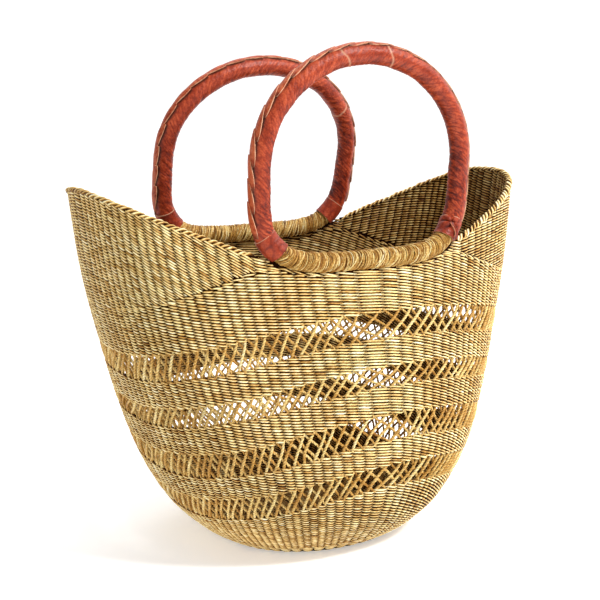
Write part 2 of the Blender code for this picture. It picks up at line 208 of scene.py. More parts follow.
def alongPath(path, distance):   # points and directions by distance, running on straight past the ends
    at = pathDistances(path)
    distance = np.asarray(distance, float)
    spot = np.stack([np.interp(distance, at, path[:, k]) for k in range(3)], -1)
    slope = np.stack([np.interp(distance, (at[1:] + at[:-1]) / 2, d)
                      for d in (np.diff(path, axis=0) / np.diff(at)[:, None]).T], -1)
    direction = unit(slope)
    past = np.where(distance < 0, distance, np.where(distance > at[-1], distance - at[-1], 0))
    return spot + direction * past[..., None], direction


def across(direction, side):   # square to a path: towards the outside, and away from the ring's middle
    outward = np.array([0.0, side, 0.0])
    outward = unit(outward - direction * (direction @ outward)[..., None])
    return outward, np.cross(direction, outward) * side


def aroundPath(path, side, distance, angle, radius):   # angle 0 faces outside, a quarter turn on is away
    angle, radius = np.asarray(angle), np.asarray(radius)
    centre, direction = alongPath(path, distance)
    outward, away = across(direction, side)
    return (centre + outward * (radius * np.cos(angle))[..., None]
            + away * (radius * np.sin(angle))[..., None])


footReach = pivotSpan + rings["footRadius"] * abs(alongPath(rollPath(-1), 0)[1][2]) + rings["footGap"]
wingTurn = math.acos((footReach / float(halfLength(np.array(wallTopFoot))))
                     ** (float(squareness(np.array(wallTopFoot))) / 2))


def fromEnd(turn):   # the turn counted from the nearer end of the basket
    return np.arccos(np.clip(np.abs(np.cos(turn)), 0, 1))


def seamHeight(turn):   # top of the level rows: under the wings, and under the roll between them
    near = fromEnd(turn)
    underWing = mix(seamLow, wallTopFoot, np.clip(near / wingTurn, 0, 1) ** bands["seamCurve"])
    x = np.minimum(np.abs(outerPoint(turn, wallTopFoot + 0 * turn)[..., 0]), pivotSpan)
    slope = (rollHeight(x + tinyStep) - rollHeight(x)) / tinyStep
    underRoll = rollHeight(x) - (rings["rollRadius"] + rings["seat"]) * np.hypot(1, slope)
    return np.where(near < wingTurn, underWing, np.minimum(underRoll, wallTopFoot))


def rimHeight(turn):
    return mix(tipHeight, rimFoot, np.clip(fromEnd(turn) / wingTurn, 0, 1) ** bands["rimCurve"])


# finishes

class Shade:   # a shader socket that takes part in Python sums
    def __init__(self, tree, socket=None):
        self.tree, self.socket = tree, socket

    def node(self, kind, settings=(), values=(), out=0):
        made = self.tree.nodes.new(kind)
        for key, value in dict(settings).items():
            if key == "stops":
                ramp = made.color_ramp
                while len(ramp.elements) < len(value):
                    ramp.elements.new(0.5)
                for element, (spot, colour) in zip(ramp.elements, value):
                    element.position, element.color = spot, (*colour, 1)
            else:
                setattr(made, key, value)
        for key, value in dict(values).items():
            if isinstance(value, Shade):
                self.tree.links.new(value.socket, made.inputs[key])
            else:
                made.inputs[key].default_value = value
        return Shade(self.tree, made.outputs[out])

    def maths(self, operation, first, second):
        return self.node("ShaderNodeMath", {"operation": operation}, {0: first, 1: second})

    def __add__(self, other):
        return self.maths("ADD", self, other)

    __radd__ = __add__

    def __mul__(self, other):
        return self.maths("MULTIPLY", self, other)

    __rmul__ = __mul__

    def __sub__(self, other):
        return self.maths("SUBTRACT", self, other)

    def __rsub__(self, other):
        return self.maths("SUBTRACT", other, self)

    def __pow__(self, other):
        return self.maths("POWER", self, other)

    def __rpow__(self, other):
        return self.maths("POWER", other, self)


def newMaterial(name, roughness, specular):
    material = bpy.data.materials.new(name)
    material.use_nodes = True
    shader = material.node_tree.nodes["Principled BSDF"]
    shader.inputs["Roughness"].default_value = roughness
    shader.inputs["Specular IOR Level"].default_value = specular
    return material, shader, Shade(material.node_tree)


def feed(value, shader, socket):
    value.tree.links.new(value.socket, shader.inputs[socket])


def blendColour(under, over, factor, mode="MIX"):
    return under.node("ShaderNodeMix", {"data_type": "RGBA", "blend_type": mode, "clamp_factor": True},
                      {0: factor, 6: under, 7: (*over, 1)}, out=2)


def noiseAt(net, scale, detail, stretch=(1, 1, 1)):
    place = net.node("ShaderNodeTexCoord", out=3)   # object coordinates
    moved = net.node("ShaderNodeMapping", {}, {"Vector": place, "Scale": stretch})
    return net.node("ShaderNodeTexNoise", {}, {"Vector": moved, "Scale": scale, "Detail": detail})


def bumpOf(height, look):
    return height.node("ShaderNodeBump", {}, {"Height": height, "Distance": look["bumpHeight"],
                                              "Strength": look["bumpStrength"]})


def weaveParts(net):   # kept at each point: grass has tone and painted shade, leather has raised (its creases in painted shade), painted shadow and pale
    looks = net.node("ShaderNodeAttribute", {"attribute_name": "weave"}, out=0)
    split = net.node("ShaderNodeSeparateColor", {"mode": "RGB"}, {0: looks})
    return [Shade(net.tree, socket) for socket in split.socket.node.outputs]


strawLook = {
    "stops": ((0.0, (0.085, 0.024, 0.002)), (0.25, (0.31, 0.130, 0.018)), (0.5, (0.60, 0.335, 0.078)),
              (0.75, (0.95, 0.75, 0.33)), (1.0, (1.0, 0.99, 0.80))),
    "fibreScale": 420, "fibreStretch": (1, 1, 2.2), "fibreTone": 0.6, "blotchScale": 26, "blotchTone": 0.25,
    "greyScale": 11, "greyGain": 3.0, "greyStart": -1.45, "greyTint": (0.80, 0.94, 1.0), "greyMost": 0.45,
    # painted shade: how strongly the shade colour darkens hollows, crossings and flanks
    "paintedShadePower": 1.6, "paintedShadeMost": 0.92, "bumpHeight": 0.00012, "bumpStrength": 0.7,
}
straws = {   # tint, colour of the painted shade in its hollows, roughness, specular
    "pale": ((1, 1, 1), (0.022, 0.007, 0.001), 0.46, 0.20),
    "cord": ((0.90, 0.84, 0.72), (0.050, 0.018, 0.004), 0.46, 0.20),
    # the stakes inside: near black, painted shade for the gaps between rows
    "core": ((0.15, 0.105, 0.06), (0.02, 0.008, 0.002), 0.8, 0.05),
    "roll": ((0.80, 0.76, 0.68), (0.045, 0.018, 0.004), 0.46, 0.20),
}


def straw(kind):
    tint, shadeColour, roughness, specular = straws[kind]
    look = strawLook
    material, shader, net = newMaterial(f"straw {kind}", roughness, specular)
    tone, hollow, _ = weaveParts(net)
    fibre = noiseAt(net, look["fibreScale"], 2, look["fibreStretch"])
    blotch = noiseAt(net, look["blotchScale"], 3)
    patch = noiseAt(net, look["greyScale"], 2)
    value = tone + (fibre - 0.5) * look["fibreTone"] + (blotch - 0.5) * look["blotchTone"]
    stops = [(spot, [part * share for part, share in zip(colour, tint)]) for spot, colour in look["stops"]]
    colour = net.node("ShaderNodeValToRGB", {"stops": stops}, {0: value})
    grey = net.node("ShaderNodeMath", {"operation": "MULTIPLY_ADD", "use_clamp": True},
                    {0: patch, 1: look["greyGain"], 2: look["greyStart"]})
    colour = blendColour(colour, look["greyTint"], grey * look["greyMost"], "MULTIPLY")
    # painted shade laid over the hollows, crossings and flanks
    colour = blendColour(colour, shadeColour, hollow ** look["paintedShadePower"] * look["paintedShadeMost"])
    feed(colour, shader, "Base Color")
    feed(bumpOf(fibre, look), shader, "Normal")
    return material


hideLook = {
    "stopSpots": (0.12, 0.5, 0.95), "specular": 0.28, "blotchScale": 60, "grainScale": 700, "puckerScale": 300,
    # raised: lighter on ridges and darker in creases, as painted shade
    "raisedTone": 0.90, "blotchTone": 0.5, "grainTone": 0.5, "shift": -0.45,
    # painted shadow: beside the tabs, on their covered ends and in the knot's pinch
    "pale": (0.62, 0.33, 0.20), "shadow": (0.016, 0.004, 0.002), "shadowMost": 0.95,
    "roughSpread": 0.3, "roughShift": -0.12, "grainBump": 0.35, "bumpHeight": 0.0008, "bumpStrength": 0.9,
}
hides = {   # dark, usual and light colour, roughness
    "terracotta leather": ((0.085, 0.005, 0.001), (0.275, 0.028, 0.006), (0.60, 0.105, 0.033), 0.42),
    "terracotta lace": ((0.10, 0.008, 0.002), (0.35, 0.046, 0.010), (0.56, 0.130, 0.045), 0.42),
    "cut leather edge": ((0.36, 0.10, 0.04), (0.62, 0.28, 0.15), (0.74, 0.44, 0.28), 0.7),
}


def hide(kind):
    *colours, roughness = hides[kind]
    look = hideLook
    material, shader, net = newMaterial(kind, roughness, look["specular"])
    raised, shadow, pale = weaveParts(net)
    blotch = noiseAt(net, look["blotchScale"], 4)
    grain = noiseAt(net, look["grainScale"], 3)
    pucker = noiseAt(net, look["puckerScale"], 2)
    # painted shade in the creases, lighter on raised leather
    value = (raised * look["raisedTone"] + blotch * look["blotchTone"] + (grain - 0.5) * look["grainTone"]
             + look["shift"])
    colour = net.node("ShaderNodeValToRGB", {"stops": list(zip(look["stopSpots"], colours))}, {0: value})
    colour = blendColour(colour, look["pale"], pale)
    # painted shadow from the tabs, their covered ends and the knot
    colour = blendColour(colour, look["shadow"], shadow * look["shadowMost"])
    feed(colour, shader, "Base Color")
    feed(blotch * look["roughSpread"] + (roughness + look["roughShift"]), shader, "Roughness")
    feed(bumpOf(grain * look["grainBump"] + pucker, look), shader, "Normal")
    return material


strawPale, strawCord, strawShadedCore, strawRoll = [straw(kind) for kind in straws]
leatherRed, leatherLace, leatherCut = [hide(kind) for kind in hides]
print("finishes ready")


# what every piece needs

def pick(*objects):   # selects these alone, the first one active
    for other in bpy.context.selected_objects:
        other.select_set(False)
    for obj in reversed(objects):
        obj.select_set(True)
        bpy.context.view_layer.objects.active = obj


def keepLooks(mesh, looks):   # three values for each point, which the finishes read
    colours = np.column_stack([looks, np.ones(len(looks))]).astype(np.float32)
    mesh.attributes.new("weave", "FLOAT_COLOR", "POINT").data.foreach_set("color", colours.ravel())


def facesOutwards(obj):
    pick(obj)
    bpy.ops.object.mode_set(mode="EDIT")
    bpy.ops.mesh.select_all(action="SELECT")
    bpy.ops.mesh.normals_make_consistent(inside=False)
    bpy.ops.object.mode_set(mode="OBJECT")


def thicken(obj, thickness, offset, skins):   # a sheet becomes leather with a cut edge
    for skin in skins:
        obj.data.materials.append(skin)
    pick(obj)
    solid = obj.modifiers.new("wall", "SOLIDIFY")
    solid.thickness, solid.offset, solid.material_offset_rim = thickness, offset, 1
    bpy.ops.object.modifier_apply(modifier=solid.name)
    obj.data.shade_smooth()
    obj.data.set_sharp_from_angle(angle=math.radians(40))


def sheet(name, us, vs, pointAt):   # a grid, each point moved to where pointAt(u, v) puts it
    pick()
    bpy.ops.mesh.primitive_grid_add(x_subdivisions=len(vs) - 1, y_subdivisions=len(us) - 1, calc_uvs=False,
                                    location=(0, 0, 0))
    obj = bpy.context.object
    obj.name = obj.data.name = name
    spots, looks = zip(*[pointAt(u, v) for u in us for v in vs])
    obj.data.vertices.foreach_set("co", np.asarray(spots, np.float32).ravel())
    keepLooks(obj.data, looks)
    return obj


def joinSheets(sheets):   # one piece of them all, its faces outwards
    pick(*sheets)
    if len(sheets) > 1:
        bpy.ops.object.join()
    facesOutwards(sheets[0])
    return sheets[0]


def finish(obj, body, nodes, material=None):   # its material, body, and the CAD nodes it stands for
    if material is not None:
        obj.data.materials.clear()
        obj.data.materials.append(material)
    if body is not None:
        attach(obj, body)
    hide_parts(*nodes)


# strands: bevelled curves made into meshes, with how each point should look kept as an attribute

def strandPiece(name, strands, facets=6, section=None, looksAt=None):
    # each strand is a dict: points, radii, tone, painted shade, closed, and maybe tilt or outward
    obj = curveMesh(name, strands, facets, section)
    mesh = obj.data
    owner, number = pointOwners(strands, facets)
    kept = {key: np.concatenate([strand[key] for strand in strands])[owner]
            for key in strands[0] if key not in ("closed", "tilt")}
    tone, hollow = kept["tone"], kept["hollow"]
    if looksAt is not None:
        spots = np.zeros(len(mesh.vertices) * 3, np.float32)
        mesh.vertices.foreach_get("co", spots)
        tone, hollow = looksAt(spots.reshape(-1, 3) - kept["points"], kept)
    keepLooks(mesh, np.column_stack([tone, hollow, np.zeros(len(owner))]))
    layStrips(mesh, number, len(strands))
    mesh.shade_smooth()
    return obj


def curveMesh(name, strands, facets, section):
    data = bpy.data.curves.new(name, "CURVE")
    data.dimensions = "3D"
    data.use_fill_caps = True
    if section is None:
        data.bevel_depth, data.bevel_resolution = 1, (facets - 4) // 2
    else:
        data.bevel_mode, data.bevel_object = "OBJECT", section
    for strand in strands:
        count = len(strand["points"])
        spline = data.splines.new("POLY")
        spline.points.add(count - 1)
        spline.points.foreach_set("co", np.column_stack([strand["points"], np.ones(count)]).ravel())
        spline.points.foreach_set("radius", strand["radii"])
        if "tilt" in strand:
            spline.points.foreach_set("tilt", strand["tilt"])
        spline.use_cyclic_u = strand["closed"]
        spline.use_smooth = True
    obj = bpy.data.objects.new(name, data)
    bpy.context.scene.collection.objects.link(obj)
    pick(obj)
    bpy.ops.object.convert(target="MESH")
    obj = bpy.context.object
    obj.name = obj.data.name = name
    return obj


def pointOwners(strands, facets):   # the curve point and the strand that each mesh point belongs to
    # the mesh starts with the caps of open strands, last strand first, then has a ring for each point
    starts = np.cumsum([0] + [len(strand["points"]) for strand in strands])
    caps = [ring for i in reversed(range(len(strands))) if not strands[i]["closed"]
            for ring in (starts[i + 1] - 1, starts[i])]
    owner = np.repeat(np.concatenate([np.array(caps, int), np.arange(starts[-1])]), facets)
    return owner, np.searchsorted(starts, owner, side="right") - 1


def layStrips(mesh, numbers, count):   # a UV map with each strand on its own strip
    flat = np.zeros(len(mesh.loops) * 2, np.float32)
    mesh.uv_layers[0].data.foreach_get("uv", flat)
    corner = np.zeros(len(mesh.loops), np.int32)
    mesh.loops.foreach_get("vertex_index", corner)
    flat = flat.reshape(-1, 2)
    margin = 0.05
    lanes = (numbers[corner] + margin + (1 - 2 * margin) * flat[:, 1]) / count
    strips = np.column_stack([flat[:, 0], lanes])
    mesh.uv_layers.remove(mesh.uv_layers[0])
    mesh.uv_layers.new(name="OFBake").data.foreach_set("uv", strips.astype(np.float32).ravel())


def wander(count, scale, closed=False):   # smooth random values, about -1 to 1, one every scale steps
    knots = max(int(count / scale), 4)
    values = rng.uniform(-1, 1, knots + 1)
    if closed:
        values[-1] = values[0]
    return np.interp(np.arange(count) / count * knots, np.arange(knots + 1), values)


# one twined row: two strands that pass each other between the stakes

twine = {
    "stakes": 112, "rowPitch": 0.00255, "measuredAt": math.radians(315), "drift": 0.04,
    "outside": (-0.5, -0.3, -0.1, 0.1, 0.3), "inside": (-0.5, -0.17, 0.17),   # where a strand has points
    "fat": 0.00107, "thin": 0.00058, "lens": 0.80, "fatSpread": 0.09,   # fat over a stake, thin where it dives
    "slopePower": 0.75,                             # sloping rows lie closer together, so they are thinner
    "reach": 0.00122, "slant": 0.00092,             # how far it swings out of the wall, and up and down it
    "outward": 0.12,                                # it crosses its twin this far out, as a share of its reach
    "swingPower": 0.6, "lift": 0.00014, "shortest": 12,
    "strandTone": 0.05, "stitchTone": 0.10, "streakTone": 0.08, "streak": 30, "odd": 0.05, "oddTone": 0.22,
    # painted shade where a strand dives between the stakes
    "diveShade": 0.62, "divePower": 1.5,
    "crownFrom": 0.55, "crownHighlight": 0.62, "crownMean": 0.44,   # painted highlight along its crown
    "crowdReach": 1.05, "crowdShade": 0.95, "crowdPower": 0.9,  # painted shade where the next rows crowd it
    "backReach": 1.5, "backShadeTone": 0.14, "backShade": 0.52,      # painted shade towards the wall
}

# the flat bundles of stakes inside a solid band, side by side, which the rows pass over; coloured near black as
# painted shade in the gaps between rows
stakeBundles = {"thickness": 0.0009, "between": 0.35, "steps": 4, "rowPitch": 0.005, "past": (-0.0004, -0.0004)}


def always(turn):
    return np.ones(len(turn), bool)


def runsOf(valid):   # stretches of a closed list where valid holds, as index lists
    if valid.all():
        return [(np.arange(len(valid)), True)]
    first = int(np.argmin(valid))
    runs, run = [], []
    for i in np.roll(np.arange(len(valid)), -first):
        if valid[i]:
            run.append(i)
        elif run:
            runs.append(run)
            run = []
    if run:
        runs.append(run)
    return [(np.array(r), False) for r in runs if len(r) > twine["shortest"]]


def twinedRow(heightAt, validAt, placeAt=wallPoint, stakes=None):
    stakes = stakes or twine["stakes"]
    middle = wallShape["thickness"] / 2
    made = []
    drift = twine["drift"] * rng.uniform(-1, 1)
    stitchFat = 1 + twine["fatSpread"] * rng.uniform(-1, 1, stakes)
    stitchLift = twine["lift"] * rng.uniform(-1, 1, stakes)
    for k in (0, 1):
        places = [(i, i + o) for i in range(stakes) for o in twine["inside" if (i + k) % 2 else "outside"]]
        column, s = np.array([i for i, _ in places]), np.array([spot for _, spot in places])
        turn = 2 * math.pi * (s + drift) / stakes
        front = np.cos(math.pi * (s + k))
        bulge = np.abs(front) ** twine["lens"]
        toneOf = 0.5 + twine["stitchTone"] * rng.uniform(-1, 1, stakes)
        toneOf += twine["strandTone"] * rng.uniform(-1, 1)
        toneOf -= twine["oddTone"] * (rng.random(stakes) < twine["odd"])
        for run, closed in runsOf(validAt(turn)):
            at, stitch = turn[run], column[run]
            line = placeAt(at, heightAt(at), np.full(len(at), middle))
            slope = np.gradient(line[:, 2]) / np.linalg.norm(np.gradient(line, axis=0), axis=1)
            radii = mix(twine["thin"], twine["fat"] * stitchFat[stitch], bulge[run])
            radii *= (1 - slope**2) ** twine["slopePower"]
            swing = (np.sign(front[run]) * bulge[run] ** twine["swingPower"]
                     + twine["outward"] * (1 - bulge[run]))
            depth = middle - twine["reach"] * swing
            height = heightAt(at) - twine["slant"] * np.sin(math.pi * (s[run] + k)) + stitchLift[stitch]
            # painted shade where the strand dives past its twin
            hollow = twine["diveShade"] * (1 - bulge[run]) ** twine["divePower"]
            tone = toneOf[stitch] + twine["streakTone"] * wander(len(run), twine["streak"], closed)
            if not closed:   # the ends tuck into the wall, in full painted shade
                for end in (0, -1):
                    radii[end], depth[end], hollow[end] = twine["thin"], middle, 1
            outward = unit(placeAt(at, height, 0 * depth) - placeAt(at, height, 0 * depth + 0.001))
            made.append({"points": placeAt(at, height, depth), "radii": radii, "closed": closed,
                         "tone": tone, "hollow": hollow, "outward": outward})
    return made


def stitchLooks(arm, kept):   # painted highlight along a stitch's crown and painted shade on its flanks and towards the wall, by which way a point faces
    facing = (unit(arm) * kept["outward"]).sum(1)
    back = np.clip(-facing * twine["backReach"], 0, 1)
    facing = np.abs(facing)
    crowd = 1 - np.clip(facing * twine["crowdReach"], 0, 1)
    crown = smooth((facing - twine["crownFrom"]) / (1 - twine["crownFrom"])) - twine["crownMean"]
    hollow = np.maximum(kept["hollow"], twine["crowdShade"] * crowd ** twine["crowdPower"])
    return (kept["tone"] + twine["crownHighlight"] * crown - twine["backShadeTone"] * back,
            np.maximum(hollow, twine["backShade"] * back))


def rowPiece(name, strands, node):
    finish(strandPiece(name, strands, looksAt=stitchLooks), "basket", [node], strawPale)
    print(name, len(strands), "strands")


def stakeLayer(name, lowAt, highAt, node, rows, placeAt=wallPoint, turns=None, stakes=None):
    stakes = stakes or twine["stakes"]
    closed = turns is None
    if closed:
        steps = stakes * stakeBundles["steps"]
        turns = np.arange(steps) * 2 * math.pi / steps
    swell = mix(stakeBundles["between"], 1, np.abs(np.cos(turns * stakes / 2)))
    low, high = lowAt(turns), highAt(turns)
    loops = [placeAt(turns, mix(low, high, share),
                     wallShape["thickness"] / 2 + side * stakeBundles["thickness"] * swell)
             for side, shares in ((-1, np.linspace(0, 1, rows + 1)), (1, np.linspace(1, 0, rows + 1)))
             for share in shares]
    count, around = len(turns), len(loops)
    last = count if closed else count - 1
    faces = [(j * count + i, j * count + (i + 1) % count, (j + 1) % around * count + (i + 1) % count,
              (j + 1) % around * count + i) for j in range(around) for i in range(last)]
    if not closed:
        faces += [tuple(j * count for j in range(around)), tuple(j * count + count - 1 for j in range(around))]
    mesh = bpy.data.meshes.new(name)
    mesh.from_pydata(np.concatenate(loops).tolist(), [], faces)
    obj = bpy.data.objects.new(name, mesh)
    bpy.context.scene.collection.objects.link(obj)
    facesOutwards(obj)
    mesh.shade_smooth()
    # painted shade: the stakes take the near-black core finish
    finish(obj, "basket", [node], strawShadedCore)


def levelsBetween(low, high):   # row levels about one row pitch apart along the wall, at a middling turn
    probe = np.linspace(low, high, 60)
    turn = np.full(len(probe), twine["measuredAt"])
    reach = pathDistances(outerPoint(turn, rowHeight(probe, turn)))
    rows = round(reach[-1] / twine["rowPitch"])
    return np.interp((np.arange(rows) + 0.5) / rows * reach[-1], reach, probe)


def solidBand(name, low, high, node, stakes=None, past=stakeBundles["past"]):
    # past is how far the stakes inside go on below and above the rows, where the next rows cover them
    strands = []
    for level in levelsBetween(low, high):
        strands += twinedRow(lambda turn: rowHeight(level, turn), always, stakes=stakes)
    rowPiece(name, strands, node)
    stakeLayer(name.replace("rows", "stakes"), lambda turn: rowHeight(low - past[0], turn),
               lambda turn: rowHeight(high + past[1], turn), node,
               max(2, round((high - low) / stakeBundles["rowPitch"])))


# the base: rounds from the middle of the foot outwards, with more stakes as they grow

baseRounds = {
    "stakes": ((0.24, 14), (0.5, 28), (1, 56)),   # up to this share of the way out
    "first": 0.4, "layerFrom": 0.0015, "layerPast": 0.002, "layerRows": 6,
}


def base():
    reach = wallShape["baseHalfLength"]

    def place(turn, out, depth):   # out is the distance from the middle along the length
        flat = outerPoint(turn, 0 * turn)
        flat[:, :2] *= (out / reach)[:, None]
        flat[:, 2] = depth
        return flat

    strands = []
    rounds = int(reach / twine["rowPitch"])
    for i in range(1, rounds):
        share = (i + baseRounds["first"]) / rounds
        stakes = next(count for limit, count in baseRounds["stakes"] if share < limit)
        strands += twinedRow(lambda turn: share * reach + 0 * turn, always, place, stakes)
    rowPiece("base_rounds", strands, "base_disc")
    stakeLayer("base_stakes", lambda turn: baseRounds["layerFrom"] + 0 * turn,
               lambda turn: reach + baseRounds["layerPast"] + 0 * turn,
               "base_disc", baseRounds["layerRows"], place, stakes=baseRounds["stakes"][-1][1])


# the solid cup: where each stretch of rows starts, its stakes, and how far the stakes inside go on
cup = {
    "low": (0.0012, 56, (0.0009, 0.0003)),
    "middle": (bands["foot"] * 0.20, None, (0, 0.0003)),
    "high": (bands["foot"] * 0.55, None, (0, -0.0004)),
}


def solidCup():
    tops = [start for start, _, _ in cup.values()][1:] + [bands["foot"]]
    for (part, (low, stakes, past)), high in zip(cup.items(), tops):
        solidBand(f"cup_rows_{part}", low, high, "foot_band", stakes, past)


# level rows from the last openwork up to the seam and the roll, short where those dip

upperRows = {
    "topShare": 0.6, "tuckShare": 1.3, "highest": 0.024, "layerRows": 7, "layerTop": 0.0006,
    "intoRoll": 0.0065, "rollRamp": (0.005, 0.02),   # the stakes inside go up into the roll: no light under it
}


def upperBand():
    strands = twinedRow(lambda turn: seamHeight(turn) - twine["fat"] * upperRows["topShare"], always)
    tuck = twine["fat"] * upperRows["tuckShare"]
    for level in levelsBetween(bandsTop, seamLow + upperRows["highest"]):
        strands += twinedRow(lambda turn: rowHeight(level, turn),
                             lambda turn: rowHeight(level, turn) < seamHeight(turn) - tuck)
    rowPiece("upper_rows", strands, "upper_band")

    def layerTop(turn):
        intoRoll = upperRows["intoRoll"] * rampAt(fromEnd(turn) - wingTurn, upperRows["rollRamp"])
        return seamHeight(turn) + upperRows["layerTop"] + intoRoll

    stakeLayer("upper_stakes", lambda turn: rowHeight(bandsTop - stakeBundles["past"][0], turn), layerTop,
               "upper_band", upperRows["layerRows"])


# the wings: rows laid parallel to the sloping rim, each ending where it meets the seam

wingRows = {
    "pitchShare": 0.985, "spread": 0.2, "footGap": 0.0012, "seamLap": 0.2, "nearRing": 30,
    "layerPast": 0.014, "layerSteps": 160, "layerRows": 8, "layerDrop": 0.5,
}


def ringGap(turn, height):   # distance from the wall's middle to the nearer ring's centre line
    spot = wallPoint(turn, height, wallShape["thickness"] / 2) * [1, -1, 1]
    spot[:, 1] = -np.abs(spot[:, 1])
    near = wingRows["nearRing"]
    line = np.concatenate([rollPath(-1), hoopPath("front")[:near], hoopPath("front")[-near:]])
    return np.linalg.norm(spot[:, None] - line, axis=-1).min(1)


def wing(name):
    middle = 0.0 if ends[name] > 0 else math.pi
    top = bands["border"] + twine["fat"]
    strands = []
    for i in range(int((tipHeight - seamLow - top) / twine["rowPitch"]) + 1):
        drop = top + i * twine["rowPitch"] * wingRows["pitchShare"]

        def heightAt(turn):
            return rimHeight(turn) - drop

        def validAt(turn):
            near = np.abs((turn - middle + math.pi) % (2 * math.pi) - math.pi)
            height = heightAt(turn)
            clear = (near < wingTurn) | (ringGap(turn, height) > cuff["radius"] + wingRows["footGap"])
            overSeam = height > seamHeight(turn) - twine["fat"] * wingRows["seamLap"]
            return (near < wingTurn + wingRows["spread"]) & clear & overSeam

        strands += twinedRow(heightAt, validAt)
    rowPiece(f"wing_rows_{name}", strands, f"wing_{name}")
    stakeLayer(f"wing_stakes_{name}", lambda turn: seamHeight(turn) + stakeBundles["past"][0],
               lambda turn: rimHeight(turn) - bands["border"] * wingRows["layerDrop"], f"wing_{name}",
               wingRows["layerRows"], turns=wingTurns(middle, wingRows["layerSteps"]))


def wingTurns(middle, steps):   # from foot to foot round one end of the basket
    return middle + (wingTurn + wingRows["layerPast"]) * np.linspace(-1, 1, steps)


# stakes in the openwork: each is a twisted cord that leans across to the next column

stake = {
    "radius": 0.00118, "flatness": 0.84, "twist": 0.0062, "stations": 38, "overlap": 0.12,
    "behind": 0.94, "pairShare": 0.27, "shift": 1.0, "swing": 0.0011, "bow": 0.25, "jitter": 0.10,
    # the cords behind have a lower tone: painted shade
    "sizes": (0.92, 1.08), "swell": 0.06, "tones": {"outer": 0.62, "inner": 0.56}, "toneSpread": 0.12,
    "hollow": 0.05, "grooveFrom": 0.97, "grooveShade": 0.66,   # a little painted shade all along, and more in the groove between its plies
}


def cordSection():   # longer than it is wide, so that turning it along the cord shows the twist
    data = bpy.data.curves.new("cordSection", "CURVE")
    data.dimensions = "2D"
    spline = data.splines.new("POLY")
    spline.points.add(5)
    for i in range(6):
        angle = math.pi / 6 + 2 * math.pi * i / 6
        x, y = math.cos(angle) / math.cos(math.pi / 6), stake["flatness"] * math.sin(angle)
        spline.points[i].co = (x, y, 0, 1)
    spline.use_cyclic_u = True
    obj = bpy.data.objects.new("cordSection", data)
    bpy.context.scene.collection.objects.link(obj)
    return obj


def cordLooks(arm, kept):
    # painted shade in the groove between the plies
    groove = stake["grooveFrom"] - np.linalg.norm(arm, axis=1) / kept["radii"]
    groove = groove / (stake["grooveFrom"] - stake["flatness"])
    return kept["tone"], np.maximum(kept["hollow"], stake["grooveShade"] * smooth(groove))


def openwork(number, low, high):   # cords that lean right lie in front, and those that lean left behind
    section = cordSection()
    share = np.linspace(-stake["overlap"], 1 + stake["overlap"], stake["stations"])
    inner = np.clip(share, 0, 1)
    travel = stake["shift"] + 2 * stake["pairShare"]
    line = mix(share, smooth(share), stake["bow"]) + np.where(share > 1, (share - 1) * stake["bow"], 0)
    count = len(share)
    for layer, lean in (("outer", 1), ("inner", -1)):
        strands = []
        for column in range(twine["stakes"]):
            bend = rng.normal() * inner + rng.normal() * (1 - inner) + rng.normal() * np.sin(math.pi * inner)
            s = column + lean * (travel * line - stake["pairShare"]) + stake["jitter"] * bend
            turn = 2 * math.pi * s / twine["stakes"]
            depth = wallShape["thickness"] / 2 - lean * stake["swing"] * np.sin(math.pi * inner) ** 0.5
            points = wallPoint(turn, rowHeight(mix(low, high, share), turn), depth)
            size = stake["radius"] * (1 if lean > 0 else stake["behind"]) * rng.uniform(*stake["sizes"])
            tone = (stake["tones"][layer] + stake["toneSpread"] * rng.uniform(-1, 1)
                    + stake["toneSpread"] * wander(count, 12))
            turned = 2 * math.pi * pathDistances(points) / stake["twist"] + rng.uniform(0, 6)
            strands.append({"points": points, "radii": size * (1 + stake["swell"] * wander(count, 8)),
                            "tilt": turned, "closed": False, "tone": tone,
                            "hollow": np.full(count, stake["hollow"])})
        obj = strandPiece(f"openwork_cords_{number}_{layer}", strands, 6, section, cordLooks)
        finish(obj, "basket", [f"openwork_{number}_{layer}"], strawCord)
    bpy.data.objects.remove(section)
    print("openwork", number)


# the edge of each wing: the stakes' ends, bent over it one after another

border = {
    "radius": 0.00135, "thin": 0.00070, "sizes": (0.85, 1.1), "pitch": 0.0052, "reach": 0.0112, "drop": 0.0034,
    "out": 0.0027, "crest": 0.0012, "stations": 11, "pathSteps": 240, "startShares": (-0.3, -0.6),
    "slide": 0.07, "lift": 0.0005, "endTone": 0.16, "streakTone": 0.10, "hollow": 0.6,
}


